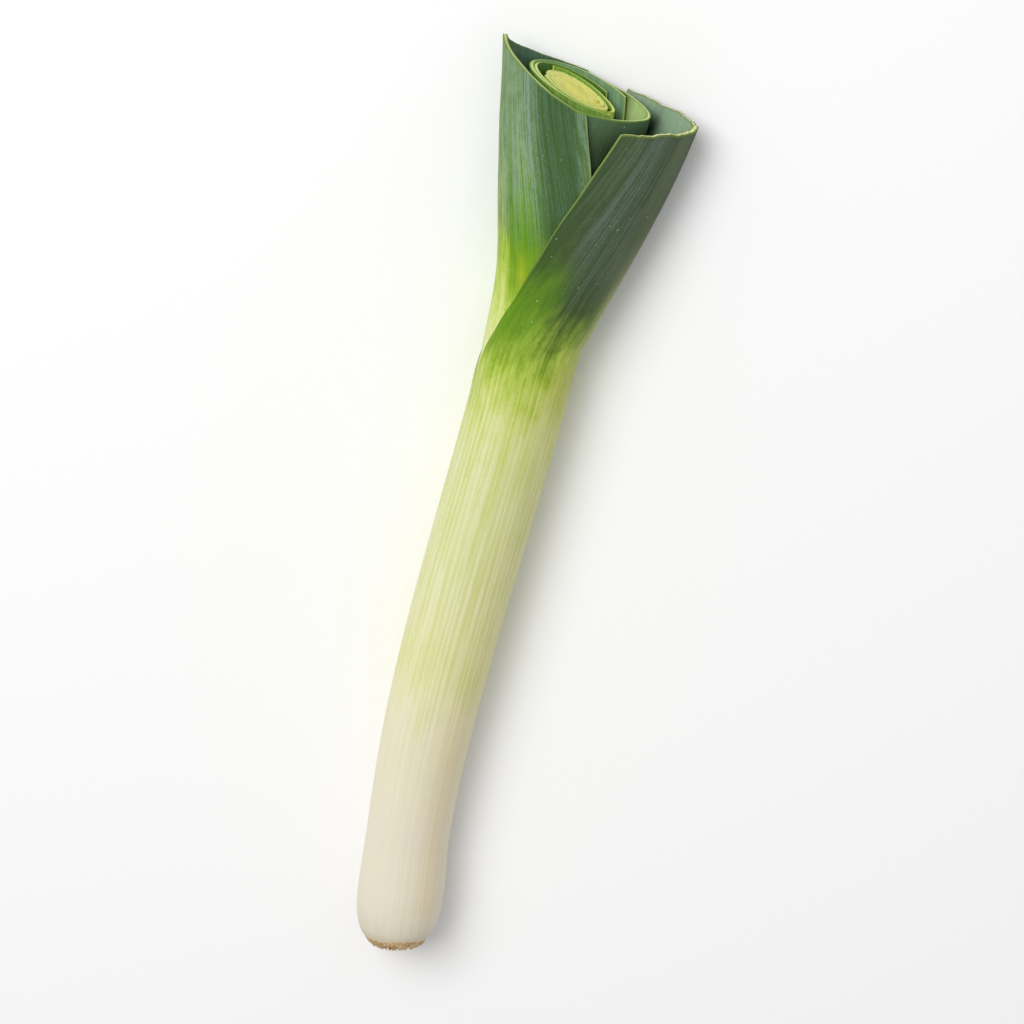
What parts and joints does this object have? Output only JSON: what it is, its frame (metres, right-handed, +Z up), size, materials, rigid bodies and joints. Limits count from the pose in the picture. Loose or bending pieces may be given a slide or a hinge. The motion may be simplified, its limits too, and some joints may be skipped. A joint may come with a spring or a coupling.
{
  "type": "leek",
  "caption": "trimmed leek lying on its side: pale swayed shaft with a rounded bulb end and cut root stubs, opening into keeled green blades cut off on a slant",
  "frame": {"origin": "middle of the footprint, on the surface the leek lies on", "axes": "+Y from the roots to the cut top, +X to the right when seen from above with the cut top away, +Z up"},
  "size_m": [0.0754, 0.3657, 0.0353],
  "materials": {
    "leaf_1": "waxy leaf, creamy white sheath turning yellow-green and then blue-green, fine ribs along its length",
    "leaf_2": "waxy leaf, green to blue-green with pale stripes",
    "leaf_3": "waxy leaf, green with a paler inner face",
    "leaf_4": "waxy leaf, light green",
    "leaf_5": "waxy leaf, light green",
    "leaf_6": "moist young leaf, yellow-green",
    "heart": "moist cut face, pale yellow",
    "root_plate": "dry fibrous tan"
  },
  "bodies": {
    "root": {"leaf_1": "leaf_1", "leaf_2": "leaf_2", "leaf_3": "leaf_3", "leaf_4": "leaf_4", "leaf_5": "leaf_5", "leaf_6": "leaf_6", "heart": "heart", "root_plate": "root_plate"}
  },
  "joints": []
}
